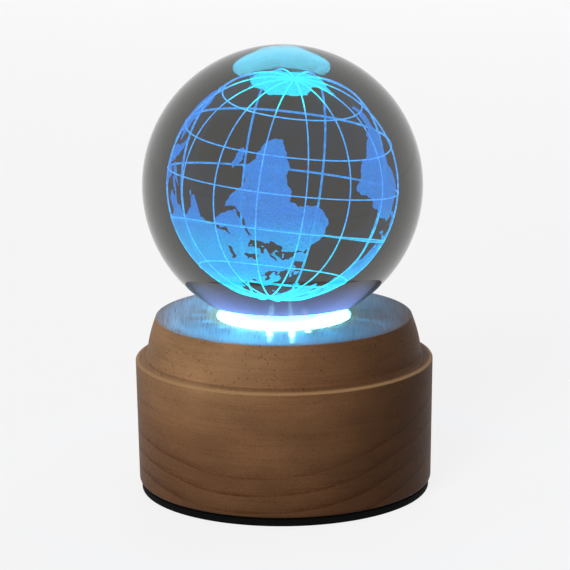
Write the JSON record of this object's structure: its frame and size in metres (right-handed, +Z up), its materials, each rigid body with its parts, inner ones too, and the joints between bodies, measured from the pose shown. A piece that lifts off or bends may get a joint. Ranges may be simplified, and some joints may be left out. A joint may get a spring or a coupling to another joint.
{
  "type": "crystal ball lamp",
  "caption": "Solid crystal ball with a globe engraved inside, resting in the lit milky window of a turned two-tier wooden base with a charging port and a push button at the back.",
  "frame": {"origin": "centre of the pad's underside, on the table", "axes": "+Z up, -Y towards the viewer (front), +Y towards the port and the button (back)"},
  "size_m": [0.0642, 0.0642, 0.0963],
  "materials": {
    "crystal": "polished optical glass, smoky",
    "beech": "turned and sanded beech, matt",
    "milky_acrylic": "milky acrylic, lit from below",
    "white_abs": "white moulded plastic",
    "light_board": "white solder mask",
    "led_body": "moulded light with a clear lens",
    "chip_epoxy": "moulded epoxy",
    "zinc_steel": "bright zinc plate",
    "rubber_foam": "black anti-slip foam rubber",
    "black_abs": "black moulded plastic, fine grain",
    "grey_foam": "adhesive foam",
    "pouch_foil": "laminated foil",
    "circuit_board": "green solder mask",
    "ferrite": "moulded ferrite",
    "capacitor_can": "drawn aluminium can",
    "connector_nylon": "natural nylon",
    "stamped_steel": "stamped, nickel plated",
    "port_polymer": "black moulded polymer",
    "button_abs": "black moulded plastic, satin",
    "white_pvc": "wire insulation",
    "red_pvc": "wire insulation",
    "green_pvc": "wire insulation",
    "blue_pvc": "wire insulation",
    "black_pvc": "wire insulation"
  },
  "bodies": {
    "base": {"wood_base": "beech", "light_window": "milky_acrylic", "reflector_cup": "white_abs", "led_board": "light_board", "led_1": "led_body", "led_2": "led_body", "led_3": "led_body", "led_4": "led_body", "led_5": "led_body", "led_6": "led_body", "led_resistor_1": "chip_epoxy", "led_resistor_2": "chip_epoxy", "led_resistor_3": "chip_epoxy", "led_board_screw_1": "zinc_steel", "led_board_screw_2": "zinc_steel", "led_board_screw_3": "zinc_steel", "foot_pad": "rubber_foam", "bottom_cover": "black_abs", "cover_screw_1": "zinc_steel", "cover_screw_2": "zinc_steel", "cover_screw_3": "zinc_steel", "battery_pad": "grey_foam", "battery_cell": "pouch_foil", "main_board": "circuit_board", "board_screw_1": "zinc_steel", "board_screw_2": "zinc_steel", "charge_chip": "chip_epoxy", "driver_chip": "chip_epoxy", "power_coil": "ferrite", "capacitor_1": "capacitor_can", "capacitor_2": "capacitor_can", "battery_header": "connector_nylon", "battery_plug": "connector_nylon", "port_shell": "stamped_steel", "port_tongue": "port_polymer", "switch_body": "chip_epoxy", "rear_plate": "black_abs", "led_lead_common": "white_pvc", "led_lead_red": "red_pvc", "led_lead_green": "green_pvc", "led_lead_blue": "blue_pvc", "battery_lead_red": "red_pvc", "battery_lead_black": "black_pvc"},
    "ball": {"crystal_ball": "crystal"},
    "button": {"button_cap": "button_abs", "switch_plunger": "connector_nylon"}
  },
  "joints": [
    {"name": "ball_turn", "type": "hinge", "parent": "base", "child": "ball", "pos_m": [0, 0, 0.06628], "axis": [0, 0, 1], "continuous": true},
    {"name": "button_press", "type": "slide", "parent": "base", "child": "button", "axis": [0, -1, 0], "range_m": [0, 0.0012], "stiffness_N_per_m": 400, "springref_m": -0.001}
  ]
}
